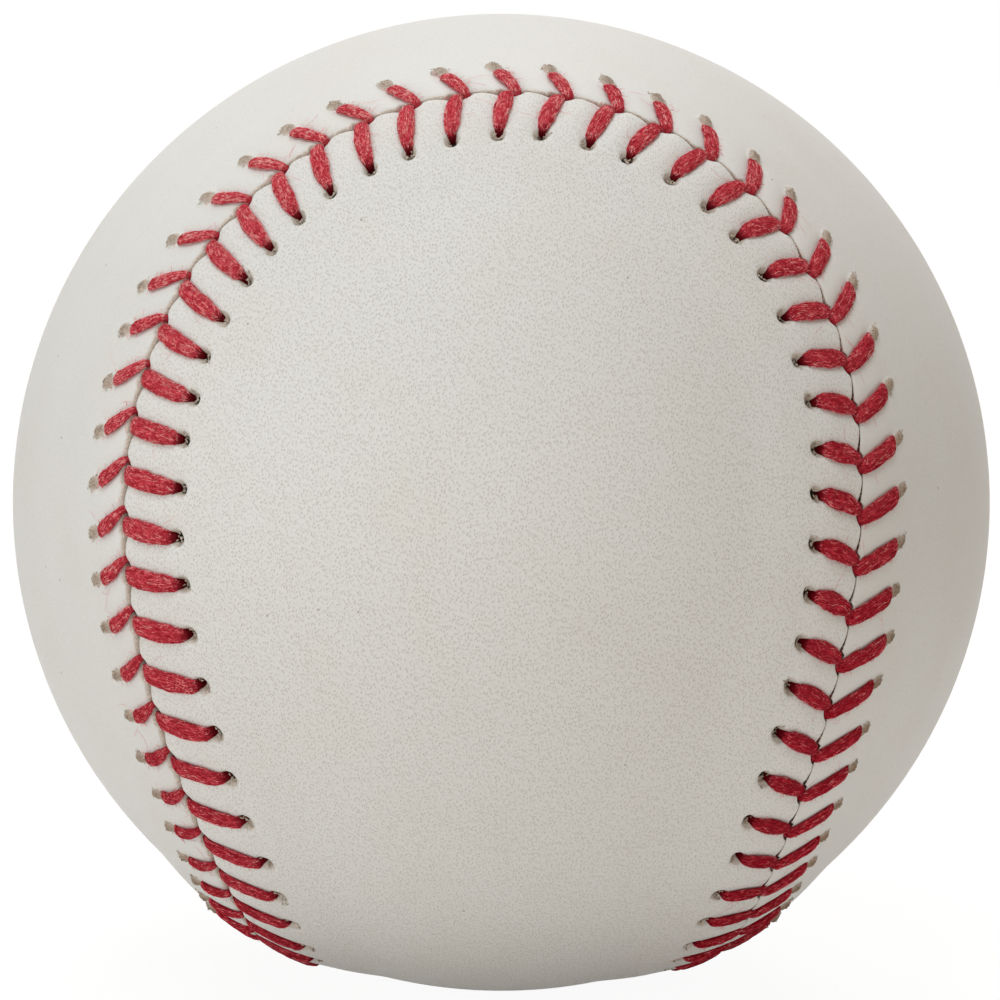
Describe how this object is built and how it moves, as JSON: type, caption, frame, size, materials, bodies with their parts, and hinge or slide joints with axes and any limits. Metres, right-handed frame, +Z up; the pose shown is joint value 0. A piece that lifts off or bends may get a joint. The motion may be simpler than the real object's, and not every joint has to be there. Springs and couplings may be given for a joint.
{
  "type": "baseball",
  "caption": "Ball of two waisted leather panels sewn together with a raised red double stitch over a core of cork, rubber and wound yarn, for throwing and batting.",
  "frame": {"origin": "centre of the ball", "axes": "+Z up, through the waist of the top panel; -Y through the lobe of the front panel that the picture shows"},
  "size_m": [0.0728, 0.0728, 0.0728],
  "materials": {
    "cork": "granular cork composition, matte",
    "black_rubber": "moulded, matte",
    "red_rubber": "moulded, matte",
    "grey_wool": "wound wool yarn",
    "white_wool": "wound wool yarn",
    "white_cotton": "fine wound cotton yarn",
    "white_leather": "off-white, fine pebbled grain, satin",
    "red_thread": "waxed cotton thread with loose fibres"
  },
  "bodies": {
    "root": {"cork_nucleus": "cork", "black_half_upper": "black_rubber", "black_half_lower": "black_rubber", "core_gasket": "red_rubber", "red_jacket": "red_rubber", "first_winding": "grey_wool", "second_winding": "white_wool", "third_winding": "grey_wool", "finishing_winding": "white_cotton", "front_cover_panel": "white_leather", "top_cover_panel": "white_leather", "stitch_thread_a": "red_thread", "stitch_thread_b": "red_thread"}
  },
  "joints": []
}
